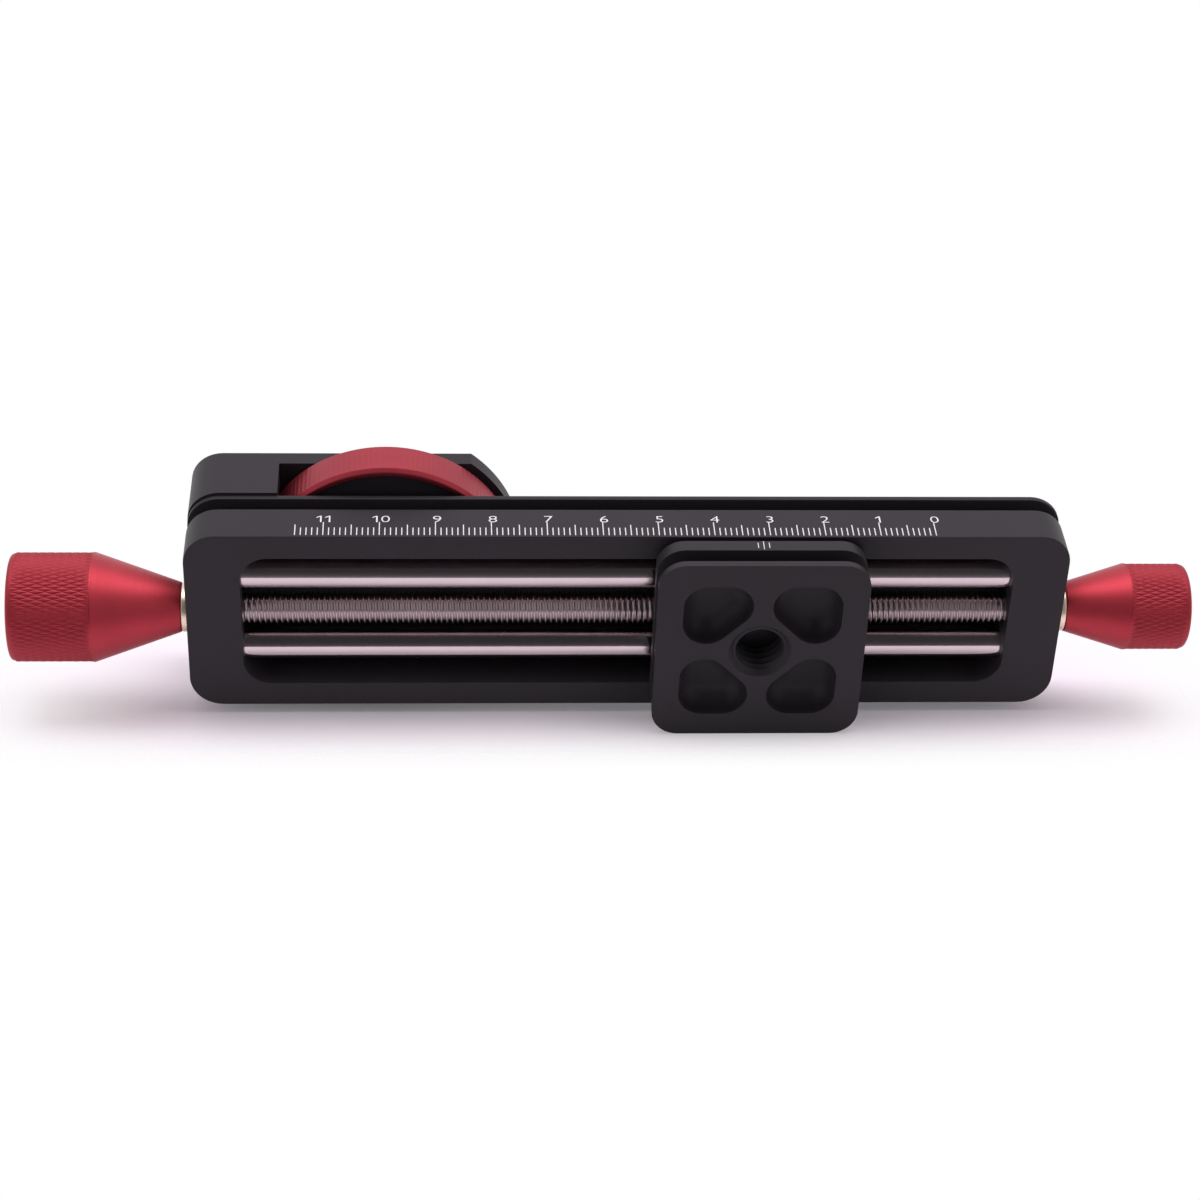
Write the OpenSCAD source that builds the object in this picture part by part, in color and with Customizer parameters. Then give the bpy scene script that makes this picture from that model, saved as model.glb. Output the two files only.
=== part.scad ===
// Focusing rail with a tripod foot, a camera platform and a lead screw
// X runs along the rail, +Y from the tripod foot to the camera, +Z up as the rail lies on its edge
// The origin is on the tripod thread's axis, where the thread starts inside the foot's face

/* [Rail frame] */
// Length of the frame
rail_len = 160; // [150:1:240]
// Height of the frame and of the foot, the width across their dovetails
rail_h = 38; // [37:0.5:44]
// Depth of the frame, front to back
rail_depth = 13; // [12.5:0.1:17]
// Radius of the frame's corners
rail_corner_r = 6; // [4:0.5:9]
// Thickness of the frame's end walls
end_wall = 10; // [9:0.5:12]
// Thickness of the long rims above and below the window
rim_wall = 5; // [4.5:0.1:6]
// Radius of the window's corners
window_r = 5; // [3:0.5:7]
// Thickness of the floor behind the window
floor_t = 2.4; // [2:0.1:3]
// Thickness of the flange behind the groove
flange_t = 1.2; // [1:0.1:2]
// Width of the groove round the frame
groove_w = 3.3; // [2.8:0.1:4]
// Depth of the groove round the frame
groove_depth = 2.5; // [2:0.1:2.8]
// Distance from the right end to the scale's zero
zero_inset = 25; // [22:0.5:40]
// Where the carriage stands on the scale
reading = 31.5; // [0:0.5:80]

/* [Guides and lead screw] */
// Depth of the lead screw's axis behind the frame's front face
axis_depth = 4.7; // [4.5:0.1:6]
// Outside diameter of the lead screw's thread
screw_d = 6; // [5:0.1:7]
// Diameter of the lead screw's journals
journal_d = 5; // [4:0.1:5.5]
// Diameter of the guide rods
rod_d = 6; // [5:0.1:6.5]
// Clear gap between the lead screw and each rod
rod_gap = 2; // [1.8:0.1:3]
// Depth that the rods sit in the left end wall
rod_seat = 8; // [6:0.5:9]
// Distance from the rods' right ends to the frame's end face
rod_recess = 1; // [0.5:0.1:2]
// Wall of the end bushes
end_bush_wall = 1.45; // [1:0.05:2]
// Diameter of the end bushes' flanges
bush_flange_d = 9; // [8.6:0.1:12]
// Thickness of the end bushes' flanges
bush_flange_t = 0.95; // [0.6:0.05:2]
// Thickness of the thrust washers
thrust_t = 0.6; // [0.4:0.1:1]
// Diameter of the grub screws
grub_d = 3; // [2.5:0.1:3.5]
// Gap in every running fit
run_gap = 0.05; // [0.02:0.01:0.08]

/* [Knobs] */
// Diameter of the left knob
left_knob_d = 20; // [16:0.5:26]
// Length of the left knob's grip
left_grip_len = 15.2; // [10:0.1:22]
// Length of the left knob's cone
left_cone_len = 15.6; // [10:0.1:20]
// Diameter of the right knob
right_knob_d = 16; // [14:0.5:22]
// Length of the right knob's grip
right_grip_len = 11.4; // [8:0.1:18]
// Length of the right knob's cone
right_cone_len = 11.2; // [9:0.1:16]
// Diameter of the knobs' necks
neck_d = 9; // [8:0.1:11]
// Radius of the knobs' outer edges
knob_edge_r = 0.8; // [0.5:0.1:2]
// Distance from a knob's neck to its grub screw
knob_grub_inset = 5; // [3:0.5:7]
// Solid end of a knob beyond its bore
knob_end_t = 10; // [4:0.5:14]

/* [Carriage] */
// Radius of the foot's corners
foot_corner_r = 5; // [4:0.5:8]
// Thickness of the foot's front lip
foot_lip_t = 1.5; // [1.2:0.1:2.5]
// Width of the groove round the foot
foot_groove_w = 3.3; // [3.1:0.1:4]
// Depth of the groove round the foot
foot_groove_depth = 3; // [2:0.1:3]
// Thickness of the foot's back plate
foot_back_t = 2.9; // [2:0.1:5]
// Gap between the foot and the frame
foot_gap = 1.25; // [0.5:0.05:2]
// Diameter of the tripod thread, 3/8 inch
thread_d = 9.525; // [6.35:0.005:9.6]
// Diameter of the lead-in chamfer of the thread
chamfer_d = 11.4; // [10:0.1:13]
// Depth of the threaded hole
thread_depth = 7.2; // [5:0.1:7.6]
// Width of the ribs between the foot's pockets
pocket_rib = 3.5; // [2:0.1:5]
// Margin from the foot's edge to its pockets
pocket_edge = 4.7; // [4.2:0.1:6]
// Radius of the pockets' corners
pocket_r = 4.4; // [2:0.1:4.6]
// Depth of the pockets
pocket_depth = 4.5; // [2:0.1:5.5]
// Length of the slide block
block_len = 16; // [14:0.5:19]
// Radius of the slide block's corners
block_r = 2; // [1:0.1:4]
// Gap between the slide block and the window's walls
block_gap = 0.6; // [0.3:0.05:1]
// Length of each guide bush
guide_len = 6; // [4:0.1:6.4]
// Depth of the guide bushes inside the slide block's ends
guide_inset = 0.5; // [0.2:0.1:0.6]
// Wall of the guide bushes
guide_wall = 0.65; // [0.5:0.05:0.75]
// Wall of the lead screw nut
nut_wall = 0.8; // [0.6:0.05:0.9]
// Extra radius of the rod holes between the guide bushes
rod_relief = 0.3; // [0.1:0.05:0.5]

/* [Camera platform] */
// Height of the platform
platform_h = 39; // [36:0.5:44]
// Length of the platform's thick block
platform_block_len = 16.4; // [14:0.1:18]
// Radius of the platform's corners
platform_corner_r = 6; // [4:0.5:9]
// Thickness of the platform's plate
plate_t = 3.4; // [3:0.1:5]
// Reach of the plate's round end beyond the wheel
plate_reach = 1; // [0.5:0.1:3]
// Distance from the rail's left end to the wheel's axis
wheel_inset = 36; // [35:0.5:60]
// Thickness of the pad that the camera rests on
pad_t = 1.1; // [0.8:0.1:2]
// Depth of the pad's seat in the platform
pad_seat = 0.5; // [0.3:0.1:0.7]
// Margin from the platform's edges to the pad
pad_edge = 3; // [2:0.5:5]
// Diameter of the platform's fixing screws
fix_d = 4; // [3:0.1:4.4]
// Diameter of the heads of the fixing screws
fix_head_d = 7; // [5.5:0.1:7.5]
// Height of the heads of the fixing screws
fix_head_h = 4; // [3:0.1:5]
// Depth of the fixing screws in the frame
fix_depth = 8; // [5:0.5:9]
// Distance from the rail's left end to the fixing screws
fix_inset = 5.5; // [5:0.1:6]
// Distance from the screw axis to each fixing screw
fix_offset = 13.5; // [13.3:0.1:14]
// Diameter of the locating dowels
dowel_d = 3; // [2:0.1:3.4]
// Depth of the dowels in the frame and in the platform
dowel_depth = 3; // [2:0.1:3.6]
// Distance from the screw axis to each dowel
dowel_offset = 5.5; // [4:0.1:7]

/* [Thumbwheel] */
// Diameter of the wheel
wheel_d = 48; // [44:0.5:56]
// Thickness of the wheel
wheel_t = 8; // [7.5:0.1:10]
// Gap between the frame and the wheel
wheel_gap = 0.9; // [0.5:0.1:2]
// Bevel of the wheel's front edge
wheel_bevel = 0.7; // [0.5:0.1:1.4]
// Bevel of the wheel's back edge
wheel_back_bevel = 0.4; // [0.2:0.1:1]
// Wall of the red rim
rim_ring_t = 1.6; // [1.6:0.1:4]
// Depth of the hub's front face inside the rim
hub_recess = 0.8; // [0.4:0.1:1.2]
// Thickness of the washer behind the wheel
wheel_washer_t = 0.7; // [0.4:0.1:1.2]
// Diameter of the washer behind the wheel
wheel_washer_d = 18; // [14:0.5:24]
// Diameter of the camera screw, 1/4 inch
stud_d = 6.35; // [6.3:0.005:9.525]
// Length of the camera screw beyond the pad
stud_len = 5; // [4:0.1:6]
// Diameter of the camera screw's flange
stud_flange_d = 16; // [14:0.5:20]
// Thickness of the camera screw's flange
stud_flange_t = 2; // [1.6:0.1:3]
// Number of hub screws
hub_screw_n = 3; // [2:1:4]
// Diameter of the hub screws
hub_screw_d = 2.5; // [2:0.1:2.6]
// Depth of the hub screws in the hub
hub_screw_depth = 3; // [2:0.1:4]
// Thickness of the retaining ring
ring_t = 0.8; // [0.5:0.1:0.9]
// Depth of the camera screw's neck, which holds the ring, and of its tip's chamfer
neck_depth = 0.5; // [0.3:0.05:0.6]
// Reach of the ring beyond the camera screw
ring_reach = 1.8; // [1.2:0.1:2.2]
// Depth of the ring's recess in the plate
ring_recess = 1.4; // [1.2:0.1:1.6]
// Room round the ring in its recess
ring_room = 1.2; // [0.5:0.1:2]

/* [Hidden] */
$fn = 72;
// Overshoot of a cut past the face that it opens
cut = 1;

// Colours of the finishes
black_anodised = "#2b2b2e";
red_anodised = "#b02a38";
steel = "#c9c6c8";
black_steel = "#1f1f21";
brass = "#cfa86a";
bronze = "#a9793f";
rubber = "#26282a";
nylon = "#e4e2da";

// Stations along Y, from the foot's face to the camera
foot_front_y = -(chamfer_d - thread_d) / 2;
foot_groove_y = foot_front_y + foot_lip_t;
foot_wall_y = foot_groove_y + foot_groove_w;
foot_back_y = foot_wall_y + foot_back_t;
rail_front_y = foot_back_y + foot_gap;
rail_back_y = rail_front_y + rail_depth;
floor_y = rail_back_y - floor_t;
flange_y = rail_back_y - flange_t;
groove_y = flange_y - groove_w;
axis_y = rail_front_y + axis_depth;
block_back_y = floor_y - block_gap;
wheel_front_y = rail_back_y + wheel_gap;
wheel_back_y = wheel_front_y + wheel_t;
plate_front_y = wheel_back_y + wheel_washer_t;
plate_back_y = plate_front_y + plate_t;
pad_front_y = plate_back_y - pad_seat;
pad_back_y = pad_front_y + pad_t;
ring_seat_y = plate_back_y - ring_recess;
neck_y = ring_seat_y + run_gap;
hub_front_y = wheel_front_y + hub_recess;
flange_seat_y = hub_front_y + stud_flange_t;
stud_end_y = pad_back_y + stud_len;

// Stations along X, from the left end to the right
rail_right_x = reading + zero_inset;
rail_left_x = rail_right_x - rail_len;
rail_mid_x = (rail_left_x + rail_right_x) / 2;
window_left_x = rail_left_x + end_wall;
window_right_x = rail_right_x - end_wall;
wheel_x = rail_left_x + wheel_inset;
platform_step_x = rail_left_x + platform_block_len;
fix_x = rail_left_x + fix_inset;

// Heights and radii
// The foot is as wide as the frame is high, because one clamp takes both
foot_w = rail_h;
window_len = rail_len - 2 * end_wall;
window_h = rail_h - 2 * rim_wall;
rod_z = screw_d / 2 + rod_gap + rod_d / 2;
end_bush_r = journal_d / 2 + run_gap + end_bush_wall;
nut_r = screw_d / 2 + run_gap + nut_wall;
guide_r = rod_d / 2 + run_gap + guide_wall;
block_h = window_h - 2 * block_gap;
knob_start = bush_flange_t + run_gap;
bush_len = end_wall - thrust_t - 2 * run_gap;
wheel_r = wheel_d / 2;
hub_r = wheel_r - rim_ring_t;
plate_r = wheel_r + plate_reach;
stud_r = stud_d / 2;
ring_r = stud_r + ring_reach;
ring_hole_r = ring_r + ring_room;
hub_screw_ring_r = (stud_r + stud_flange_d / 2) / 2;
grub_r = grub_d / 2;
// Key width of a grub screw as a share of its diameter
key_share = 0.5;
// Depth of the key sockets
grub_key_depth = 1.2;
fix_key_depth = 2;

// A round bar along X
module bar_x(r, x0, x1, y = axis_y, z = 0) {
    translate([x0, y, z]) rotate([0, 90, 0]) cylinder(r = r, h = x1 - x0);
}

// A round bar along Y, with r2 for a taper
module bar_y(r, y0, y1, x = 0, z = 0, r2 = -1) {
    translate([x, y0, z]) rotate([-90, 0, 0]) cylinder(r1 = r, r2 = r2 < 0 ? r : r2, h = y1 - y0);
}

// A hexagonal key socket along Y, width across the corners
module key_y(d, y0, y1, x = 0, z = 0) {
    translate([x, y0, z]) rotate([-90, 0, 0]) cylinder(d = d, h = y1 - y0, $fn = 6);
}

// A tube along X
module tube_x(r, bore_r, x0, x1, z = 0) {
    difference() {
        bar_x(r, x0, x1, z = z);
        bar_x(bore_r, x0 - cut, x1 + cut, z = z);
    }
}

// Outline of a plate with round corners, in X and Z
module round_outline(len, h, r) {
    square([len - 2 * r, h], center = true);
    square([len, h - 2 * r], center = true);
    for (sx = [-1, 1], sz = [-1, 1])
        translate([sx * (len / 2 - r), sz * (h / 2 - r)]) circle(r);
}

// A slab with round corners between two stations along Y
module slab(len, h, r, y0, y1, x = 0) {
    translate([x, y1, 0]) rotate([90, 0, 0]) linear_extrude(y1 - y0) round_outline(len, h, r);
}

// A slab whose outline draws in by the same distance as it is deep
module flank(len, h, r, y0, depth, x = 0) {
    half_h = h / 2;
    half_len = len / 2;
    translate([x, y0, 0]) {
        translate([r - half_len, 0, 0]) rotate([90, 0, 90]) linear_extrude(len - 2 * r)
            polygon([[0, -half_h], [0, half_h], [depth, half_h - depth], [depth, depth - half_h]]);
        translate([0, 0, r - half_h]) linear_extrude(h - 2 * r)
            polygon([[-half_len, 0], [half_len, 0], [half_len - depth, depth], [depth - half_len, depth]]);
        for (sx = [-1, 1], sz = [-1, 1])
            bar_y(r, 0, depth, sx * (half_len - r), sz * (half_h - r), r - depth);
    }
}

// A plate with a dovetail groove round it, from its front face to its back face
module grooved_plate(len, h, r, y_front, y_groove, y_wall, y_back, depth, x = 0) {
    slab(len, h, r, y_front, y_groove, x);
    flank(len, h, r, y_groove, depth, x);
    slab(len - 2 * depth, h - 2 * depth, r - depth, y_groove + depth, y_wall, x);
    slab(len, h, r, y_wall, y_back, x);
}

module rail_frame() {
    color(black_anodised) difference() {
        grooved_plate(rail_len, rail_h, rail_corner_r, rail_front_y, groove_y, flange_y,
            rail_back_y, groove_depth, rail_mid_x);
        slab(window_len, window_h, window_r, rail_front_y - cut, floor_y, rail_mid_x);
        bar_x(end_bush_r, rail_left_x - cut, window_left_x + cut);
        bar_x(end_bush_r, window_right_x - cut, rail_right_x + cut);
        for (sz = [-1, 1]) {
            bar_x(rod_d / 2, window_left_x - rod_seat, rail_right_x + cut, z = sz * rod_z);
            bar_y(grub_r, axis_y, rail_back_y + cut, rail_right_x - end_wall / 2, sz * rod_z);
            bar_y(fix_d / 2, rail_back_y - fix_depth, rail_back_y + cut, fix_x, sz * fix_offset);
            bar_y(dowel_d / 2, rail_back_y - dowel_depth, rail_back_y + cut, fix_x, sz * dowel_offset);
        }
    }
}

module guide_rod(side) {
    color(steel) bar_x(rod_d / 2, window_left_x - rod_seat, rail_right_x - rod_recess, z = side * rod_z);
}

module upper_guide_rod() {
    guide_rod(1);
}

module lower_guide_rod() {
    guide_rod(-1);
}

module rod_grub_screws() {
    rod_face_y = axis_y + rod_d / 2;
    color(black_steel) for (sz = [-1, 1]) difference() {
        bar_y(grub_r, rod_face_y, rail_back_y - rod_recess, rail_right_x - end_wall / 2, sz * rod_z);
        key_y(grub_d * key_share, rail_back_y - rod_recess - grub_key_depth, rail_back_y,
            rail_right_x - end_wall / 2, sz * rod_z);
    }
}

// A flanged bush from an end face inwards, to the left or the right
module end_bush(face_x, inward) {
    color(brass) translate([face_x, 0, 0]) mirror([inward < 0 ? 1 : 0, 0, 0]) difference() {
        union() {
            bar_x(bush_flange_d / 2, -bush_flange_t, 0);
            bar_x(end_bush_r, 0, bush_len);
        }
        bar_x(journal_d / 2 + run_gap, -bush_flange_t - cut, bush_len + cut);
    }
}

module left_end_bush() {
    end_bush(rail_left_x, 1);
}

module right_end_bush() {
    end_bush(rail_right_x, -1);
}

module camera_platform() {
    block_x = (rail_left_x + platform_step_x + platform_corner_r) / 2;
    color(black_anodised) difference() {
        union() {
            intersection() {
                slab(platform_block_len + platform_corner_r, platform_h, platform_corner_r, rail_back_y,
                    plate_back_y, block_x);
                translate([rail_left_x, rail_back_y, -platform_h / 2])
                    cube([platform_block_len, plate_back_y - rail_back_y, platform_h]);
            }
            intersection() {
                union() {
                    bar_y(plate_r, plate_front_y, plate_back_y, wheel_x);
                    translate([platform_step_x, plate_front_y, -platform_h / 2])
                        cube([wheel_x - platform_step_x, plate_t, platform_h]);
                }
                translate([platform_step_x, plate_front_y, -platform_h / 2])
                    cube([wheel_x + plate_r - platform_step_x, plate_t, platform_h]);
            }
        }
        bar_y(plate_r, rail_back_y - cut, plate_front_y, wheel_x);
        bar_y(stud_r + run_gap, plate_front_y - cut, plate_back_y + cut, wheel_x);
        bar_y(ring_hole_r, ring_seat_y, plate_back_y + cut, wheel_x);
        pad_shape(pad_front_y, plate_back_y + cut);
        for (sz = [-1, 1]) {
            bar_y(fix_d / 2, rail_back_y - cut, plate_back_y + cut, fix_x, sz * fix_offset);
            bar_y(fix_head_d / 2, plate_back_y - fix_head_h, plate_back_y + cut, fix_x, sz * fix_offset);
            bar_y(dowel_d / 2, rail_back_y - cut, rail_back_y + dowel_depth, fix_x, sz * dowel_offset);
        }
    }
}

module platform_screws() {
    seat_y = plate_back_y - fix_head_h;
    color(black_steel) for (sz = [-1, 1]) difference() {
        union() {
            bar_y(fix_d / 2, rail_back_y - fix_depth, seat_y, fix_x, sz * fix_offset);
            bar_y(fix_head_d / 2, seat_y, plate_back_y, fix_x, sz * fix_offset);
        }
        key_y(fix_d, plate_back_y - fix_key_depth, plate_back_y + cut, fix_x, sz * fix_offset);
    }
}

module platform_dowels() {
    color(steel) for (sz = [-1, 1])
        bar_y(dowel_d / 2, rail_back_y - dowel_depth, rail_back_y + dowel_depth, fix_x, sz * dowel_offset);
}

// The pad's outline, from beside the fixing screws to the plate's round end
module pad_shape(y0, y1) {
    pad_left_x = platform_step_x - pad_edge;
    pad_h = platform_h - 2 * pad_edge;
    pad_r = plate_r - pad_edge;
    intersection() {
        union() {
            bar_y(pad_r, y0, y1, wheel_x);
            translate([pad_left_x, y0, -pad_h / 2]) cube([wheel_x - pad_left_x, y1 - y0, pad_h]);
        }
        translate([pad_left_x, y0, -pad_h / 2]) cube([wheel_x + pad_r - pad_left_x, y1 - y0, pad_h]);
    }
}

module camera_pad() {
    color(rubber) difference() {
        pad_shape(pad_front_y, pad_back_y);
        bar_y(ring_hole_r, pad_front_y - cut, pad_back_y + cut, wheel_x);
    }
}

module wheel_washer() {
    color(nylon) difference() {
        bar_y(wheel_washer_d / 2, wheel_back_y + run_gap, plate_front_y, wheel_x);
        bar_y(stud_r + run_gap, wheel_back_y - cut, plate_front_y + cut, wheel_x);
    }
}

module lead_screw() {
    left_tip_x = rail_left_x - knob_start - left_cone_len - left_grip_len + knob_end_t;
    right_tip_x = rail_right_x + knob_start + right_cone_len + right_grip_len - knob_end_t;
    color(steel) {
        bar_x(screw_d / 2, window_left_x, window_right_x);
        bar_x(journal_d / 2, left_tip_x, window_left_x);
        bar_x(journal_d / 2, window_right_x, right_tip_x);
    }
}

// A knob from its neck outwards along X, with its grub screw's hole at the back
module knob(d, grip_len, cone_len) {
    total = cone_len + grip_len;
    r = d / 2;
    difference() {
        rotate([0, 90, 0]) rotate_extrude() {
            polygon([[0, 0], [neck_d / 2, 0], [r, cone_len], [r, total - knob_edge_r],
                [r - knob_edge_r, total - knob_edge_r], [r - knob_edge_r, total], [0, total]]);
            translate([r - knob_edge_r, total - knob_edge_r]) circle(knob_edge_r);
        }
        bar_x(journal_d / 2, -cut, total - knob_end_t, y = 0);
        bar_y(grub_r, 0, r, knob_grub_inset);
    }
}

module left_knob() {
    color(red_anodised) translate([rail_left_x - knob_start, axis_y, 0]) mirror([1, 0, 0])
        knob(left_knob_d, left_grip_len, left_cone_len);
}

module right_knob() {
    color(red_anodised) translate([rail_right_x + knob_start, axis_y, 0])
        knob(right_knob_d, right_grip_len, right_cone_len);
}

// A grub screw from the journal to just under the knob's neck
module knob_grub(x) {
    tip_y = axis_y + journal_d / 2;
    head_y = axis_y + neck_d / 2;
    difference() {
        bar_y(grub_r, tip_y, head_y, x);
        key_y(grub_d * key_share, head_y - grub_key_depth, head_y + cut, x);
    }
}

module knob_grub_screws() {
    color(black_steel) {
        knob_grub(rail_left_x - knob_start - knob_grub_inset);
        knob_grub(rail_right_x + knob_start + knob_grub_inset);
    }
}

module left_thrust_washer() {
    color(nylon) tube_x(end_bush_r - run_gap, journal_d / 2, window_left_x - thrust_t, window_left_x);
}

module right_thrust_washer() {
    color(nylon) tube_x(end_bush_r - run_gap, journal_d / 2, window_right_x, window_right_x + thrust_t);
}

// One pocket of the foot, a corner of three rounds beside the thread
module foot_pocket() {
    near = pocket_rib / 2 + pocket_r;
    far = foot_w / 2 - pocket_edge - pocket_r;
    hull() for (p = [[far, far], [near, far], [far, near]])
        translate([p[0], foot_front_y - cut, p[1]]) rotate([-90, 0, 0])
            cylinder(r = pocket_r, h = pocket_depth + cut, $fn = 32);
}

module carriage() {
    half_len = block_len / 2;
    color(black_anodised) difference() {
        union() {
            grooved_plate(foot_w, foot_w, foot_corner_r, foot_front_y, foot_groove_y, foot_wall_y,
                foot_back_y, foot_groove_depth);
            slab(block_len, block_h, block_r, foot_back_y, block_back_y);
        }
        bar_y(thread_d / 2, foot_front_y - cut, foot_front_y + thread_depth);
        bar_y(chamfer_d / 2, foot_front_y, 0, r2 = thread_d / 2);
        for (sx = [0, 1], sz = [0, 1]) mirror([sx, 0, 0]) mirror([0, 0, sz]) foot_pocket();
        bar_x(nut_r, -half_len - cut, half_len + cut);
        for (sz = [-1, 1]) {
            bar_x(rod_d / 2 + rod_relief, -half_len - cut, half_len + cut, z = sz * rod_z);
            bar_x(guide_r, -half_len - cut, guide_len + guide_inset - half_len, z = sz * rod_z);
            bar_x(guide_r, half_len - guide_len - guide_inset, half_len + cut, z = sz * rod_z);
        }
    }
}

module lead_screw_nut() {
    color(brass) tube_x(nut_r, screw_d / 2 + run_gap, -block_len / 2, block_len / 2);
}

// A guide bush at one end of the slide block, on the upper or the lower rod
module guide_bush(end, side) {
    mid_x = end * ((block_len - guide_len) / 2 - guide_inset);
    color(bronze) tube_x(guide_r, rod_d / 2 + run_gap, mid_x - guide_len / 2, mid_x + guide_len / 2,
        side * rod_z);
}

module upper_left_guide_bush() {
    guide_bush(-1, 1);
}

module upper_right_guide_bush() {
    guide_bush(1, 1);
}

module lower_left_guide_bush() {
    guide_bush(-1, -1);
}

module lower_right_guide_bush() {
    guide_bush(1, -1);
}

module thumbwheel_rim() {
    color(red_anodised) translate([wheel_x, wheel_front_y, 0]) rotate([-90, 0, 0]) rotate_extrude()
        polygon([[hub_r, 0], [wheel_r - wheel_bevel, 0], [wheel_r, wheel_bevel],
            [wheel_r, wheel_t - wheel_back_bevel], [wheel_r - wheel_back_bevel, wheel_t], [hub_r, wheel_t]]);
}

module thumbwheel_hub() {
    color(black_anodised) difference() {
        bar_y(hub_r, hub_front_y, wheel_back_y, wheel_x);
        bar_y(stud_flange_d / 2, hub_front_y - cut, flange_seat_y, wheel_x);
        bar_y(stud_r, hub_front_y - cut, wheel_back_y + cut, wheel_x);
        hub_screw_bars(flange_seat_y + hub_screw_depth);
    }
}

// The shanks of the hub screws, from the flange's face to a depth
module hub_screw_bars(y_end) {
    for (a = [0 : 360 / hub_screw_n : 359])
        bar_y(hub_screw_d / 2, hub_front_y, y_end, wheel_x + hub_screw_ring_r * cos(a), hub_screw_ring_r * sin(a));
}

module camera_screw() {
    color(steel) difference() {
        union() {
            bar_y(stud_flange_d / 2, hub_front_y, flange_seat_y, wheel_x);
            bar_y(stud_r, flange_seat_y, neck_y, wheel_x);
            bar_y(stud_r - neck_depth, neck_y, pad_back_y, wheel_x);
            bar_y(stud_r, pad_back_y, stud_end_y - neck_depth, wheel_x);
            bar_y(stud_r, stud_end_y - neck_depth, stud_end_y, wheel_x, r2 = stud_r - neck_depth);
        }
        hub_screw_bars(flange_seat_y + cut);
    }
}

module hub_screws() {
    color(black_steel) for (a = [0 : 360 / hub_screw_n : 359]) {
        x = wheel_x + hub_screw_ring_r * cos(a);
        z = hub_screw_ring_r * sin(a);
        difference() {
            bar_y(hub_screw_d / 2, hub_front_y, flange_seat_y + hub_screw_depth, x, z);
            key_y(hub_screw_d * key_share, hub_front_y - cut, hub_front_y + grub_key_depth, x, z);
        }
    }
}

module retaining_ring() {
    color(black_steel) difference() {
        bar_y(ring_r, neck_y, neck_y + ring_t, wheel_x);
        bar_y(stud_r - neck_depth, neck_y - cut, neck_y + ring_t + cut, wheel_x);
    }
}

rail_frame();
upper_guide_rod();
lower_guide_rod();
rod_grub_screws();
left_end_bush();
right_end_bush();
camera_platform();
platform_screws();
platform_dowels();
camera_pad();
wheel_washer();
lead_screw();
left_knob();
right_knob();
knob_grub_screws();
left_thrust_washer();
right_thrust_washer();
carriage();
lead_screw_nut();
upper_left_guide_bush();
upper_right_guide_bush();
lower_left_guide_bush();
lower_right_guide_bush();
thumbwheel_rim();
thumbwheel_hub();
camera_screw();
hub_screws();
retaining_ring();
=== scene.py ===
from math import asin, atan2, ceil, cos, hypot, pi, radians

import bmesh
import bpy
from mathutils import Matrix, Vector


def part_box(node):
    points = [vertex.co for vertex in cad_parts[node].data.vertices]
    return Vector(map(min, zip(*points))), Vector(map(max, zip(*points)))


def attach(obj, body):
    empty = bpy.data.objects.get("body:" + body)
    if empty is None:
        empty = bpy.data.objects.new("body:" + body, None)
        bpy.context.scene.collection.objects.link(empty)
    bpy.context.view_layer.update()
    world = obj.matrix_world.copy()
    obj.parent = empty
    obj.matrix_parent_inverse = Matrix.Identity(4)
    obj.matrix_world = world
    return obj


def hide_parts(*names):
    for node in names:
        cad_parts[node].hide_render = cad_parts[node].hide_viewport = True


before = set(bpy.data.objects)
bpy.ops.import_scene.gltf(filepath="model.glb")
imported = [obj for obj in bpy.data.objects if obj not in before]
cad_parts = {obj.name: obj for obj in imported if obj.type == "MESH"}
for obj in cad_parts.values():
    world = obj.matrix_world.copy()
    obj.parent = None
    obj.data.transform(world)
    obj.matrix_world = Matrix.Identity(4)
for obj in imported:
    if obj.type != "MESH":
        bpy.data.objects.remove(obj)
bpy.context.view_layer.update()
scene = bpy.context.scene
scene.view_settings.view_transform = "Standard"

mm = 0.001  # shapes are drawn in millimetres and become metres when a piece is finished
screwAxis = (12.7125, 0.0)  # Y and Z of the lead screw
wheelAxis = (-67.5, 0.0)  # X and Z of the thumbwheel
rodZ = 8.0  # the guide rods lie this far above and below the lead screw
over = 1.0  # how far a cutting tool reaches past the face that it opens
cutWeld = 0.0005  # corners this close become one after a cut
seamWeld = 0.001  # and on a lathe shape
onSpot = 0.01  # a corner this close to a row, a radius or a floor lies on it
print("frame loaded", len(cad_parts), "nodes")


def nodeBox(node):
    low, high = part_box(node)
    return low / mm, high / mm


# Material helpers

dyeShare = 0.55  # how much of the black's shading is patches of dye, the rest is grain
grainSwing = 0.06  # how far the grain takes the roughness up and down
ringSwing = 1.25  # what the tool rings multiply and divide the roughness by
speckRange = (0.35, 0.65)  # the part of the noise that the speckle is made of
bumpDepth = {"grain": 0.02, "ring": 0.01, "speck": 0.03}  # millimetres


def hexColour(code):
    channels = [int(code[i:i + 2], 16) / 255 for i in (1, 3, 5)]
    linear = [c / 12.92 if c <= 0.04045 else ((c + 0.055) / 1.055) ** 2.4 for c in channels]
    return (*linear, 1.0)


def addNode(tree, kind, settings=None, links=None):
    node = tree.nodes.new("ShaderNode" + kind)
    for key, value in (settings or {}).items():
        if isinstance(key, str) and hasattr(node, key):
            setattr(node, key, value)
        else:
            node.inputs[key].default_value = value
    for key, source in (links or {}).items():
        tree.links.new(source, node.inputs[key])
    return node


def startMaterial(name):
    material = bpy.data.materials.new(name)
    material.use_nodes = True
    tree = material.node_tree
    tree.nodes.clear()
    return material, tree, addNode(tree, "TexCoord").outputs["Object"]


def perMetre(size):
    return 1 / (size * mm)  # texture scale for a pattern of this size in millimetres


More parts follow.
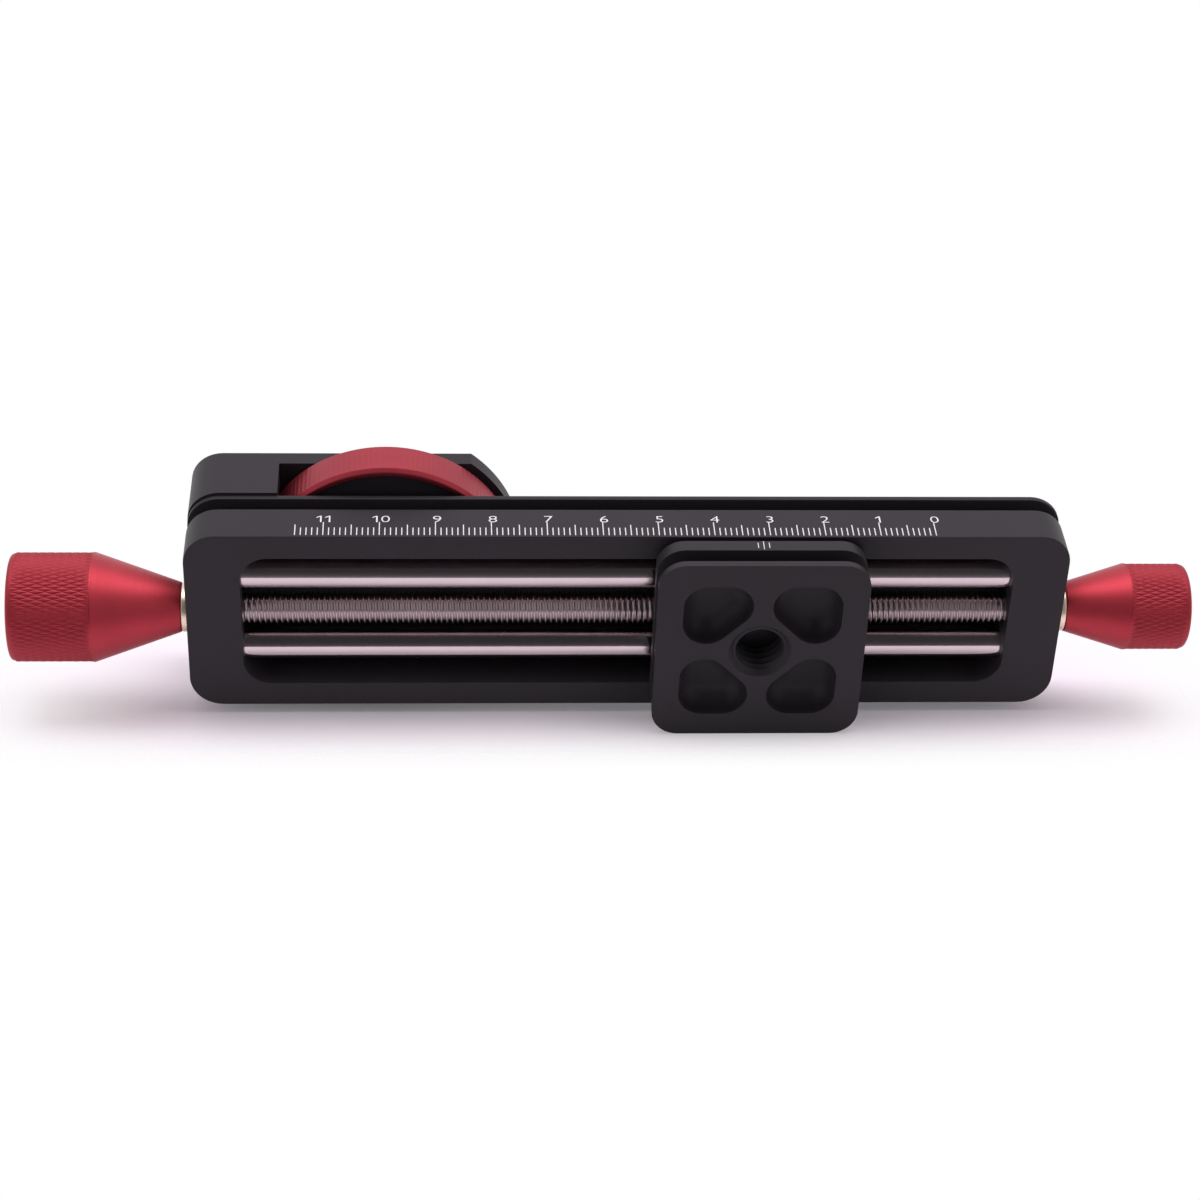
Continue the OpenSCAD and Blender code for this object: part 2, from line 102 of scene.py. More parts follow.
# Bead-blasted and black anodised aluminium: an even satin black whose grain breaks up the reflections.
# Real grain is under 0.1 mm, drawn coarser so that it shows.
def blastedBlack(name, look):
    material, tree, where = startMaterial(name)
    grain = addNode(tree, "TexNoise", {"Scale": perMetre(look["grain"]), "Detail": 2.0}, {"Vector": where})
    dye = addNode(tree, "TexNoise", {"Scale": perMetre(look["dyePatch"]), "Detail": 3.0}, {"Vector": where})
    grainPart = addNode(tree, "Math", {"operation": "MULTIPLY", 1: 1 - dyeShare}, {0: grain.outputs["Fac"]})
    mixed = addNode(
        tree, "Math", {"operation": "MULTIPLY_ADD", 1: dyeShare},
        {0: dye.outputs["Fac"], 2: grainPart.outputs[0]})
    colour = addNode(
        tree, "Mix",
        {"data_type": "RGBA", 6: hexColour(look["dark"]), 7: hexColour(look["light"])}, {0: mixed.outputs[0]})
    roughness = addNode(
        tree, "MapRange",
        {"To Min": look["roughness"] - grainSwing, "To Max": look["roughness"] + grainSwing},
        {"Value": grain.outputs["Fac"]})
    bump = addNode(
        tree, "Bump", {"Strength": look["bump"], "Distance": bumpDepth["grain"] * mm},
        {"Height": grain.outputs["Fac"]})
    shader = addNode(
        tree, "BsdfPrincipled", {"IOR": look["ior"], "Specular IOR Level": look["gloss"]},
        {"Base Color": colour.outputs[2], "Roughness": roughness.outputs[0], "Normal": bump.outputs[0]})
    addNode(tree, "OutputMaterial", links={"Surface": shader.outputs[0]})
    return material


# Turned metal: fine tool rings run round the axis, along a cylinder and across an end face alike.
# Real rings are under 0.1 mm apart, drawn coarser so that they show. Anodising leaves a clear coat of oxide.
# Beyond some distance from the middle a knurl is rolled in: rougher skin, and a darker colour as painted
# shade.
def turnedMetal(name, look):
    material, tree, where = startMaterial(name)
    across, along = {"X": ((1, 2), 0), "Y": ((0, 2), 1)}[look["axis"]]
    centre = Vector((0, 0, 0))
    centre[across[0]], centre[across[1]] = look["centre"]
    moved = addNode(tree, "VectorMath", {"operation": "SUBTRACT", 1: centre * mm}, {0: where})
    flat = Vector((1, 1, 1))
    flat[along] = 0
    radial = addNode(tree, "VectorMath", {"operation": "MULTIPLY", 1: flat}, {0: moved.outputs[0]})
    radius = addNode(tree, "VectorMath", {"operation": "LENGTH"}, {0: radial.outputs[0]})
    axial = addNode(tree, "SeparateXYZ", links={0: moved.outputs[0]})
    path = addNode(tree, "Math", {"operation": "ADD"}, {0: axial.outputs[along], 1: radius.outputs["Value"]})
    rings = addNode(
        tree, "TexNoise",
        {"noise_dimensions": "1D", "Scale": perMetre(look["ring"]), "Detail": 3.0}, {"W": path.outputs[0]})
    haze = addNode(tree, "TexNoise", {"Scale": perMetre(look["haze"]), "Detail": 4.0}, {"Vector": where})
    colour = addNode(
        tree, "Mix",
        {"data_type": "RGBA", 6: hexColour(look["dark"]), 7: hexColour(look["light"])},
        {0: haze.outputs["Fac"]})
    roughness = addNode(
        tree, "MapRange",
        {"To Min": look["roughness"] / ringSwing, "To Max": look["roughness"] * ringSwing},
        {"Value": rings.outputs["Fac"]})
    if "knurl" in look:
        knurl = look["knurl"]
        out = addNode(
            tree, "Math", {"operation": "SUBTRACT", 1: knurl["middle"] * mm},
            {0: axial.outputs[along]})
        far = addNode(tree, "Math", {"operation": "ABSOLUTE"}, {0: out.outputs[0]})
        beyond = addNode(
            tree, "Math", {"operation": "GREATER_THAN", 1: knurl["reach"] * mm},
            {0: far.outputs[0]})
        normal = addNode(tree, "TexCoord").outputs["Normal"]
        facing = addNode(tree, "SeparateXYZ", links={0: normal})
        tilt = addNode(tree, "Math", {"operation": "ABSOLUTE"}, {0: facing.outputs[along]})
        around = addNode(tree, "Math", {"operation": "LESS_THAN", 1: knurl["tilt"]}, {0: tilt.outputs[0]})
        knurlRoughAndShade = addNode(
            tree, "Math", {"operation": "MULTIPLY"}, {0: beyond.outputs[0], 1: around.outputs[0]})
        # painted shade: the knurled grip's colour is pulled to a darker red, standing in for its shaded
        # valleys
        colour = addNode(
            tree, "Mix", {"data_type": "RGBA", 7: hexColour(knurl["colour"])},
            {0: knurlRoughAndShade.outputs[0], 6: colour.outputs[2]})
        roughness = addNode(
            tree, "Math", {"operation": "MULTIPLY_ADD", 1: knurl["roughness"]},
            {0: knurlRoughAndShade.outputs[0], 2: roughness.outputs[0]})
    bump = addNode(
        tree, "Bump", {"Strength": look["bump"], "Distance": bumpDepth["ring"] * mm},
        {"Height": rings.outputs["Fac"]})
    shader = addNode(
        tree, "BsdfPrincipled",
        {"Metallic": 1.0, "Coat Weight": look["coat"], "Coat Roughness": look["roughness"]},
        {"Base Color": colour.outputs[2], "Roughness": roughness.outputs[0], "Normal": bump.outputs[0]})
    addNode(tree, "OutputMaterial", links={"Surface": shader.outputs[0]})
    return material


# Solids that are moulded, sintered, painted or blackened: a speckle in colour and height, no direction.
def speckled(name, look):
    material, tree, where = startMaterial(name)
    speck = addNode(tree, "TexNoise", {"Scale": perMetre(look["speck"]), "Detail": 3.0}, {"Vector": where})
    share = addNode(
        tree, "MapRange", {"From Min": speckRange[0], "From Max": speckRange[1]},
        {"Value": speck.outputs["Fac"]})
    colour = addNode(
        tree, "Mix",
        {"data_type": "RGBA", 6: hexColour(look["dark"]), 7: hexColour(look["light"])}, {0: share.outputs[0]})
    bump = addNode(
        tree, "Bump", {"Strength": look["bump"], "Distance": bumpDepth["speck"] * mm},
        {"Height": speck.outputs["Fac"]})
    shader = addNode(
        tree, "BsdfPrincipled", {"Metallic": look["metallic"], "Roughness": look["roughness"]},
        {"Base Color": colour.outputs[2], "Normal": bump.outputs[0]})
    addNode(tree, "OutputMaterial", links={"Surface": shader.outputs[0]})
    return material


blackAnodised = blastedBlack("blackAnodisedAluminium", {
    "dark": "#29272a", "light": "#312f33", "grain": 0.3, "dyePatch": 14.0, "roughness": 0.46, "bump": 0.25,
    "ior": 1.6, "gloss": 0.16})

# red anodised aluminium: the metal's sheen under a dyed oxide, more muted on the wheel than on the knobs
redLook = {"dark": "#aa2734", "light": "#ba303e", "ring": 0.22, "haze": 6.0, "roughness": 0.5, "bump": 0.12,
           "coat": 0.6}
# the knobs' knurl colour below is a painted shade, darker than the turned red of the cones
redKnobMetal = turnedMetal("redAnodisedKnobs", {
    **redLook, "axis": "X", "centre": screwAxis,
    "knurl": {"middle": -25.7, "reach": 94.8, "tilt": 0.75, "colour": "#ab2936", "roughness": 0.14}})
redWheelMetal = turnedMetal("redAnodisedWheel", {
    **redLook, "dark": "#9c2634", "light": "#ac2f3d", "axis": "Y", "centre": wheelAxis})

# steel: ground rods and turned stems mirror the room, a rolled thread is rougher, and darker in colour as
# painted shade
steelLook = {"dark": "#cfc2c3", "light": "#ded2d3", "ring": 0.3, "haze": 9.0, "roughness": 0.14, "bump": 0.05,
             "coat": 0.0}
groundSteel = turnedMetal("groundSteel", {**steelLook, "axis": "X", "centre": screwAxis})
# the screw's darker colour is a painted shade, its higher roughness is real
screwSteel = turnedMetal("rolledThreadSteel", {
    **steelLook, "dark": "#bdb2b2", "light": "#d0c6c6", "roughness": 0.24, "axis": "X", "centre": screwAxis})
stemSteel = turnedMetal("turnedSteel", {**steelLook, "axis": "Y", "centre": wheelAxis})

# turned brass: a pale, soft gold
turnedBrass = turnedMetal("turnedBrass", {
    "dark": "#eed9bb", "light": "#f8ead6", "ring": 0.2, "haze": 4.0, "roughness": 0.34, "bump": 0.1,
    "coat": 0.0, "axis": "X", "centre": screwAxis})

# steel blackened in a bath: nearly black with a dull shine
blackOxide = speckled("blackOxideSteel", {
    "dark": "#161617", "light": "#262628", "speck": 0.25, "roughness": 0.38, "bump": 0.1, "metallic": 0.6})

# bronze pressed from powder: grainy and brown
sinteredBronze = speckled("sinteredBronze", {
    "dark": "#6f4a22", "light": "#b98a4e", "speck": 0.18, "roughness": 0.42, "bump": 0.3, "metallic": 1.0})

# moulded rubber: matt, dark grey, with a fine tooth
padRubber = speckled("mouldedRubber", {
    "dark": "#191a1b", "light": "#2a2b2d", "speck": 0.35, "roughness": 0.82, "bump": 0.6, "metallic": 0.0})

# punched nylon sheet: smooth and waxy, undyed or black
naturalNylon = speckled("naturalNylon", {
    "dark": "#cfccbf", "light": "#dedbd0", "speck": 1.5, "roughness": 0.45, "bump": 0.05, "metallic": 0.0})
blackNylon = speckled("blackNylon", {
    "dark": "#161617", "light": "#202022", "speck": 1.5, "roughness": 0.5, "bump": 0.05, "metallic": 0.0})

# paint wiped into the engraving: matt white
engravingPaint = speckled("engravingPaint", {
    "dark": "#dcdbdc", "light": "#f4f3f4", "speck": 0.2, "roughness": 0.6, "bump": 0.2, "metallic": 0.0})
print("materials made", len(bpy.data.materials))


# Shape helpers


def meshFrom(name, bm):
    mesh = bpy.data.meshes.new(name)
    bm.to_mesh(mesh)
    bm.free()
    return mesh


def addObject(name, data):
    added = bpy.data.objects.new(name, data)
    scene.collection.objects.link(added)
    return added


def discard(loose):
    mesh = loose.data
    bpy.data.objects.remove(loose)
    bpy.data.meshes.remove(mesh)


def joinInto(bm, other):
    mesh = meshFrom("joined", other)
    bm.from_mesh(mesh)
    bpy.data.meshes.remove(mesh)


def faceOut(bm):
    bmesh.ops.recalc_face_normals(bm, faces=bm.faces)


def pick(items, kind):
    return [item for item in items if isinstance(item, kind)]


# Tools are taken from a solid one by one, and both are used up
def cutAway(bm, tools):
    solid = addObject("solid", meshFrom("solid", bm))
    cutters = [addObject("cutter", meshFrom("cutter", tool)) for tool in tools]
    for cutter in cutters:
        step = solid.modifiers.new("cut", "BOOLEAN")
        step.operation = "DIFFERENCE"
        step.solver = "EXACT"
        step.object = cutter
    left = bmesh.new()
    left.from_object(solid, bpy.context.evaluated_depsgraph_get())
    for used in [solid, *cutters]:
        discard(used)
    bmesh.ops.remove_doubles(left, verts=left.verts, dist=cutWeld)
    return left


# Rounds off edges or corners, by a width or by a share of the edges beside them
def roundOff(bm, geom, affect, width, segments, widthType="OFFSET", clamp=False):
    bmesh.ops.bevel(
        bm, geom=geom, affect=affect, offset=width, offset_type=widthType, segments=segments, profile=0.5,
        material=-1, clamp_overlap=clamp)


# Rounds off every edge that is sharper than the least angle in degrees
def softenEdges(bm, width, segments=2, least=30):
    edges = [edge for edge in bm.edges if edge.is_manifold and edge.calc_face_angle() > radians(least)]
    roundOff(bm, edges, "EDGES", width, segments, clamp=True)


# A flat face with round corners that looks to the front
def roundedFace(bm, x, y, length, height, corner, segments=10):
    place = Matrix.Translation((x, y, 0)) @ Matrix.Rotation(radians(90), 4, "X")
    made = bmesh.ops.create_grid(
        bm, x_segments=1, y_segments=1, size=0.5, matrix=place @ Matrix.Diagonal((length, height, 1, 1)))
    roundOff(bm, made["verts"], "VERTICES", corner, segments)
    return bm.faces[:][-1]


# Gives a lone face its thickness along Y and returns the moved face
def thicken(bm, face, depth):
    made = bmesh.ops.extrude_face_region(bm, geom=[face])
    cap = pick(made["geom"], bmesh.types.BMFace)[0]
    bmesh.ops.translate(bm, verts=cap.verts, vec=(0, depth, 0))
    bm.normal_update()
    return cap


# Steps a face out by rise and draws its outline in by inset, or out where inset is negative
def stepFace(bm, face, rise, inset=0.0):
    bmesh.ops.inset_region(
        bm, faces=[face], thickness=inset, depth=rise, use_even_offset=True, use_boundary=True)
    bm.normal_update()


# A plate with a dovetail groove round it, built from its back face to its front face
def groovedPlate(size):
    bm = bmesh.new()
    face = roundedFace(bm, size["x"], size["back"], size["length"], size["height"], size["corner"])
    cap = thicken(bm, face, size["wall"] - size["back"])
    stepFace(bm, cap, 0.0, size["grooveDepth"])
    stepFace(bm, cap, size["wall"] - size["grooveStart"] - size["grooveDepth"])
    stepFace(bm, cap, size["grooveDepth"], -size["grooveDepth"])
    stepFace(bm, cap, size["grooveStart"] - size["front"])
    faceOut(bm)
    return bm


# A slab with round corners, used for the window, the slide block and their like
def roundedSlab(x, front, back, length, height, corner):
    bm = bmesh.new()
    face = roundedFace(bm, x, back, length, height, corner)
    thicken(bm, face, front - back)
    faceOut(bm)
    return bm


# A slab with a round right end about the wheel's axis
def tongueSlab(size, front, back):
    bm = bmesh.new()
    half = size["height"] / 2
    swing = asin(half / size["endRadius"])
    start = bm.verts.new((wheelAxis[0] + size["endRadius"] * cos(swing), front, -half))
    arc = bmesh.ops.spin(
        bm, geom=[start], cent=(wheelAxis[0], front, 0), axis=(0, -1, 0), angle=2 * swing, steps=48)
    last = pick(arc["geom_last"], bmesh.types.BMVert)[0]
    upper = bm.verts.new((size["left"], front, half))
    lower = bm.verts.new((size["left"], front, -half))
    for pair in ((last, upper), (upper, lower), (lower, start)):
        bm.edges.new(pair)
    bmesh.ops.edgeloop_fill(bm, edges=bm.edges)
    roundOff(bm, [upper, lower], "VERTICES", size["corner"], 10)
    thicken(bm, bm.faces[:][0], back - front)
    faceOut(bm)
    return bm


# A lathe shape along X from points of (place, radius, rounding)
def turned(points, steps=64):
    bm = bmesh.new()
    chain = [bm.verts.new((along, radius, 0)) for along, radius, soft in points]
    for pair in zip(chain, chain[1:]):
        bm.edges.new(pair)
    for vert, (along, radius, soft) in zip(chain, points):
        if soft:
            roundOff(bm, [vert], "VERTICES", soft, 4)
    bmesh.ops.spin(
        bm, geom=bm.verts[:] + bm.edges[:], cent=(0, 0, 0), axis=(1, 0, 0), angle=2 * pi, steps=steps,
        use_merge=True)
    bmesh.ops.remove_doubles(bm, verts=bm.verts, dist=seamWeld)
    faceOut(bm)
    return bm


# A right-hand thread along X from 0: one pitch of its profile is wound up, then both ends are cut square
def threadedRod(length, radius, depth, pitch, steps=20):
    bm = bmesh.new()
    root = radius - depth
    profile = [(0.0, root), (0.1, root), (0.5, radius), (0.6, radius), (1.0, root)]  # shares of the pitch
    chain = [bm.verts.new(((share - 1) * pitch, height, 0)) for share, height in profile]
    edges = [bm.edges.new(pair) for pair in zip(chain, chain[1:])]
    turns = ceil(length / pitch) + 2  # one to spare beyond each end
    bmesh.ops.spin(
        bm, geom=chain + edges, cent=(0, 0, 0), axis=(1, 0, 0), dvec=(pitch / steps, 0, 0),
        angle=2 * pi * turns, steps=steps * turns)
    bmesh.ops.remove_doubles(bm, verts=bm.verts, dist=pitch / 200)  # far less than the profile's flats
    for end, outwards in ((0, -1), (length, 1)):
        cut = bmesh.ops.bisect_plane(
            bm, geom=bm.verts[:] + bm.edges[:] + bm.faces[:], plane_co=(end, 0, 0), plane_no=(outwards, 0, 0),
            clear_outer=True)
        rim = pick(cut["geom_cut"], bmesh.types.BMEdge)
        bmesh.ops.edgeloop_fill(bm, edges=rim)
    faceOut(bm)
    return bm


# Moves a shape drawn along X onto an axis, its zero at start
def placed(bm, axis, centre, start=0.0, flip=False):
    turn = Matrix.Rotation(radians(90), 4, "Z") if axis == "Y" else Matrix.Identity(4)
    spot = (start, *centre) if axis == "X" else (centre[0], start, centre[1])
    way = Matrix.Rotation(pi, 4, "Z") if flip else Matrix.Identity(4)
    bmesh.ops.transform(bm, matrix=Matrix.Translation(spot) @ turn @ way, verts=bm.verts)
    return bm


def roundBar(axis, centre, start, end, radius, endRadius=None, segments=48):
    bm = bmesh.new()
    lying = Matrix.Translation(((start + end) / 2, 0, 0)) @ Matrix.Rotation(radians(90), 4, "Y")
    bmesh.ops.create_cone(
        bm, cap_ends=True, segments=segments, radius1=radius,
        radius2=radius if endRadius is None else endRadius, depth=end - start, matrix=lying)
    return placed(bm, axis, centre)


grubScrew = {"radius": 1.46, "key": 1.5, "keyDepth": 1.2, "tipEdge": 0.2, "headEdge": 0.15}


# Plain pins or grub screws along Y, each with a hexagonal key socket in its head
def keyedPins(spots, size):
    bm = bmesh.new()
    tip, head, radius = size["tip"], size["head"], size["radius"]
    length = abs(head - tip)
    way = 1 if head > tip else -1
    low, high = sorted((head - way * size["keyDepth"], head + way * over))
    for spot in spots:
        pin = turned([
            (0, 0, 0), (0, radius, size["tipEdge"]), (length, radius, size["headEdge"]), (length, 0, 0)],
            steps=32)
        placed(pin, "Y", spot, tip, head < tip)
        joinInto(bm, cutAway(pin, [roundBar("Y", spot, low, high, size["key"] / 2, segments=6)]))
    return bm


def finishPiece(name, bm, material, body, node=None, sharp=34):
    bmesh.ops.scale(bm, vec=(mm, mm, mm), verts=bm.verts)
    for face in bm.faces:
        face.smooth = True
    for edge in bm.edges:
        edge.smooth = not edge.is_manifold or edge.calc_face_angle() < radians(sharp)
    mesh = meshFrom(name, bm)
    mesh.materials.append(material)
    piece = addObject(name, mesh)
    weights = piece.modifiers.new("flatFaces", "WEIGHTED_NORMAL")
    weights.keep_sharp = True
    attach(piece, body)
    if node:
        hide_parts(node)
    print("piece", name, len(mesh.polygons), "faces")
    return piece


# Rail frame

railFrame = {
    "x": -23.5, "length": 160.0, "height": 38.0, "corner": 6.0, "front": 8.0125, "grooveStart": 16.5125,
    "wall": 19.8125, "back": 21.0125, "grooveDepth": 2.5, "edge": 0.25,
    "windowLength": 140.0, "windowHeight": 28.0, "windowCorner": 5.0, "windowFloor": 18.6125,
    "endWall": 10.0, "bushBore": 4.0, "rodBore": 3.02, "rodSeat": 8.0,
    "grubX": 51.5, "grubBore": 1.5}


def makeRailFrame(size):
    left = size["x"] - size["length"] / 2
    right = size["x"] + size["length"] / 2
    innerLeft = left + size["endWall"]
    innerRight = right - size["endWall"]
    bm = groovedPlate(size)
    window = roundedSlab(
        size["x"], size["front"] - over, size["windowFloor"], size["windowLength"], size["windowHeight"],
        size["windowCorner"])
    bm = cutAway(bm, [window])
    softenEdges(bm, size["edge"])
    tools = [
        roundBar("X", screwAxis, left - over, innerLeft + over, size["bushBore"]),
        roundBar("X", screwAxis, innerRight - over, right + over, size["bushBore"])]
    for side in (-1, 1):
        rodLine = (screwAxis[0], side * rodZ)
        grubPlace = (size["grubX"], rodLine[1])
        tools += [
            roundBar("X", rodLine, innerLeft - size["rodSeat"], innerLeft + over, size["rodBore"]),
            roundBar("X", rodLine, innerRight - over, right + over, size["rodBore"]),
            roundBar("Y", grubPlace, screwAxis[0], size["back"] + over, size["grubBore"])]
    return cutAway(bm, tools)


finishPiece("milledFrame", makeRailFrame(railFrame), blackAnodised, "rail", "rail_frame")

# Scale on the frame's top and index on the foot

scaleMarks = {
    "zeroX": 31.5, "last": 115, "numberEvery": 10, "middleEvery": 5, "frontY": 8.5, "top": 19.0,
    "proud": 0.02, "width": 0.18, "long": 4.0, "middle": 3.2, "short": 2.3,
    "digitHeight": 1.95, "digitWide": 1.28, "digitGap": 1.55, "digitShift": 0.3, "digitY": 12.5,
    "digitBold": -0.012, "digitSteps": 4, "flagReach": 0.26, "flagDrop": 0.2, "flagWidth": 0.13}


def addMark(bm, x, y, length, size):
    place = Matrix.Translation((x, y + length / 2, size["top"]))
    grow = Matrix.Diagonal((size["width"], length, 2 * size["proud"], 1))
    bmesh.ops.create_cube(bm, size=1, matrix=place @ grow)


def makeScaleMarks(size):
    bm = bmesh.new()
    for reading in range(size["last"] + 1):
        kind = "short"
        if reading % size["numberEvery"] == 0:
            kind = "long"
        elif reading % size["middleEvery"] == 0:
            kind = "middle"
        addMark(bm, size["zeroX"] - reading, size["frontY"], size[kind], size)
    return bm


# One digit of height 1, drawn flat and centred, with the slanted stroke that the plain font's 1 lacks
def flatDigit(digit, size):
    curve = bpy.data.curves.new("digit", "FONT")
    curve.body = digit
    curve.offset = size["digitBold"]
    curve.resolution_u = size["digitSteps"]
    words = addObject("digit", curve)
    flat = bpy.data.meshes.new_from_object(words.evaluated_get(bpy.context.evaluated_depsgraph_get()))
    bm = bmesh.new()
    bm.from_mesh(flat)
    bpy.data.meshes.remove(flat)
    bpy.data.objects.remove(words)
    bpy.data.curves.remove(curve)
    left, right = min(vert.co.x for vert in bm.verts), max(vert.co.x for vert in bm.verts)
    low, high = min(vert.co.y for vert in bm.verts), max(vert.co.y for vert in bm.verts)
    bmesh.ops.translate(bm, vec=(-(left + right) / 2, -low, 0), verts=bm.verts)
    bmesh.ops.scale(bm, vec=[1 / (high - low)] * 3, verts=bm.verts)
    if digit == "1":
        bar = min(vert.co.x for vert in bm.verts)
        tip, drop, width = bar - size["flagReach"], size["flagDrop"], size["flagWidth"]
        corners = [(bar, 1.0), (tip, 1.0 - drop), (tip, 1.0 - drop - width), (bar, 1.0 - width)]
        bm.faces.new([bm.verts.new((x, y, 0)) for x, y in corners])
    return bm


def makeScaleNumbers(size):
    bm = bmesh.new()
    for number in range(size["last"] // size["numberEvery"] + 1):
        digits = str(number)
        for place, digit in enumerate(digits):
            drawn = flatDigit(digit, size)
            across = size["zeroX"] + size["digitShift"] - size["numberEvery"] * number
            across += (place - (len(digits) - 1) / 2) * size["digitGap"]
            spot = Matrix.Translation((across, size["digitY"], size["top"] - size["proud"]))
            grow = Matrix.Diagonal((size["digitHeight"] * size["digitWide"], size["digitHeight"], 1, 1))
            bmesh.ops.transform(drawn, matrix=spot @ grow, verts=drawn.verts)
            raised = bmesh.ops.extrude_face_region(drawn, geom=drawn.faces)
            up = pick(raised["geom"], bmesh.types.BMVert)
            bmesh.ops.translate(drawn, verts=up, vec=(0, 0, 2 * size["proud"]))
            faceOut(drawn)
            joinInto(bm, drawn)
    return bm


indexLines = {"x": 0.0, "middleY": 5.4, "gap": 1.0, "long": 2.4, "short": 1.6, "width": 0.14, "top": 19.0,
              "proud": 0.02}


def makeIndexLines(size):
    bm = bmesh.new()
    for place, kind in ((-1, "short"), (0, "long"), (1, "short")):
        length = size[kind]
        addMark(bm, size["x"] + place * size["gap"], size["middleY"] - length / 2, length, size)
    return bm


finishPiece("scaleMarks", makeScaleMarks(scaleMarks), engravingPaint, "rail")
finishPiece("scaleNumbers", makeScaleNumbers(scaleMarks), engravingPaint, "rail")
finishPiece("indexLines", makeIndexLines(indexLines), engravingPaint, "carriage")

# Guide rods with their grub screws, and the bushes of the lead screw

guideRod = {"start": -101.5, "end": 55.5, "radius": 3.0, "edge": 0.4}


def makeRod(size, side):
    length, radius, edge = size["end"] - size["start"], size["radius"], size["edge"]
    bm = turned([(0, 0, 0), (0, radius, edge), (length, radius, edge), (length, 0, 0)], steps=48)
    return placed(bm, "X", (screwAxis[0], side * rodZ), size["start"])


finishPiece("upperRod", makeRod(guideRod, 1), groundSteel, "rail", "upper_guide_rod")
finishPiece("lowerRod", makeRod(guideRod, -1), groundSteel, "rail", "lower_guide_rod")

# the outline starts and ends at the seam, some way along the bore
endBush = {"flange": 0.95, "flangeRadius": 4.5, "radius": 3.98, "bore": 2.55, "length": 9.3, "edge": 0.15,
           "seam": 4.0}


def makeEndBush(size, faceX, inwardLeft):
    flange, bore, length, edge = (size[key] for key in ("flange", "bore", "length", "edge"))
    bm = turned([
        (size["seam"], bore, 0), (-flange, bore, edge), (-flange, size["flangeRadius"], edge),
        (0, size["flangeRadius"], 0), (0, size["radius"], 0), (length, size["radius"], edge),
        (length, bore, edge), (size["seam"], bore, 0)], steps=64)
    return placed(bm, "X", screwAxis, faceX, inwardLeft)


frameLow, frameHigh = nodeBox("rail_frame")
finishPiece(
    "leftBush", makeEndBush(endBush, frameLow.x, False), turnedBrass, "rail", "left_end_bush")
finishPiece(
    "rightBush", makeEndBush(endBush, frameHigh.x, True), turnedBrass, "rail", "right_end_bush")

rodGrub = {**grubScrew, "tip": 15.7125, "head": 20.0125}
rodGrubSpots = [(railFrame["grubX"], side * rodZ) for side in (-1, 1)]
finishPiece(
    "rodGrubs", keyedPins(rodGrubSpots, rodGrub), blackOxide, "rail", "rod_grub_screws")

# Lead screw and knobs

leadScrew = {
    "threadStart": -93.5, "threadEnd": 46.5, "radius": 3.0, "depth": 0.55, "pitch": 1.0,
    "leftTip": -125.3, "rightTip": 70.1, "journal": 2.5, "edge": 0.3}


def makeLeadScrew(size):
    bm = placed(
        threadedRod(size["threadEnd"] - size["threadStart"], size["radius"], size["depth"], size["pitch"]),
        "X", screwAxis, size["threadStart"])
    for tip, inner in ((size["leftTip"], size["threadStart"]), (size["rightTip"], size["threadEnd"])):
        reach = abs(inner - tip)
        journal = turned(
            [(0, 0, 0), (0, size["journal"], size["edge"]), (reach, size["journal"], 0), (reach, 0, 0)],
            steps=40)
        joinInto(bm, placed(journal, "X", screwAxis, tip, inner < tip))
    return bm


finishPiece(
    "threadedScrew", makeLeadScrew(leadScrew), screwSteel, "lead_screw", "lead_screw")

# the knurl runs out into a rounded end, whose radius is a share of the edge kept for it
leftKnob = {
    "start": -104.5, "flip": True, "radius": 10.0, "cone": 15.6, "grip": 15.2, "teeth": 62, "rows": 9,
    "neck": 4.5, "neckEdge": 0.3, "bore": 2.52, "boreEdge": 0.2, "boreDepth": 20.8, "edge": 0.8,
    "edgeShare": 0.95, "knurlDepth": 0.23, "knurlLead": 0.5, "knurlRun": 0.3, "toothTip": 30,
    "grubInset": 5.0, "grubBore": 1.5}
rightKnob = {
    **leftKnob, "start": 57.5, "flip": False, "radius": 8.0, "cone": 11.2, "grip": 11.4, "teeth": 50,
    "rows": 7, "boreDepth": 12.6}


def grubSpot(size):
    way = -1 if size["flip"] else 1
    return size["start"] + way * size["grubInset"], 0


def makeKnob(size):
    total = size["cone"] + size["grip"]
    firstRow = size["cone"] + size["knurlLead"]
    rowGap = (total - size["edge"] - size["knurlRun"] - firstRow) / size["rows"]
    valley = size["radius"] - size["knurlDepth"]
    points = [
        (size["boreDepth"], 0, 0), (size["boreDepth"], size["bore"], 0), (0, size["bore"], size["boreEdge"]),
        (0, size["neck"], size["neckEdge"]), (size["cone"], size["radius"], 0)]
    points += [(firstRow + row * rowGap, size["radius"], 0) for row in range(size["rows"] + 1)]
    points += [
        (total - size["edge"], valley, 0), (total, valley, size["edge"] * size["edgeShare"]), (total, 0, 0)]
    bm = turned(points, steps=size["teeth"] * 2)

    # the knurl: every second grip vertex sinks, and the valleys are joined across the faces between them
    peaks = []
    valleys = set()
    for vert in bm.verts:
        radius = hypot(vert.co.y, vert.co.z)
        row = round((vert.co.x - firstRow) / rowGap)
        onRow = abs(vert.co.x - firstRow - row * rowGap) < onSpot
        if onRow and abs(radius - size["radius"]) < onSpot:
            step = round(atan2(vert.co.z, vert.co.y) / pi * size["teeth"])
            if (row + step) % 2:
                vert.co.y *= valley / size["radius"]
                vert.co.z *= valley / size["radius"]
                valleys.add(vert)
            else:
                peaks.append(vert)
    for face in bm.faces[:]:
        low = [vert for vert in face.verts if vert in valleys]
        if len(low) == 2 and not any(edge.other_vert(low[0]) is low[1] for edge in low[0].link_edges):
            bmesh.utils.face_split(face, low[0], low[1])
    roundOff(bm, peaks, "VERTICES", size["toothTip"], 1, "PERCENT")

    placed(bm, "X", screwAxis, size["start"], size["flip"])
    grubHole = roundBar(
        "Y", grubSpot(size), screwAxis[0], screwAxis[0] + size["radius"], size["grubBore"])
    return cutAway(bm, [grubHole])


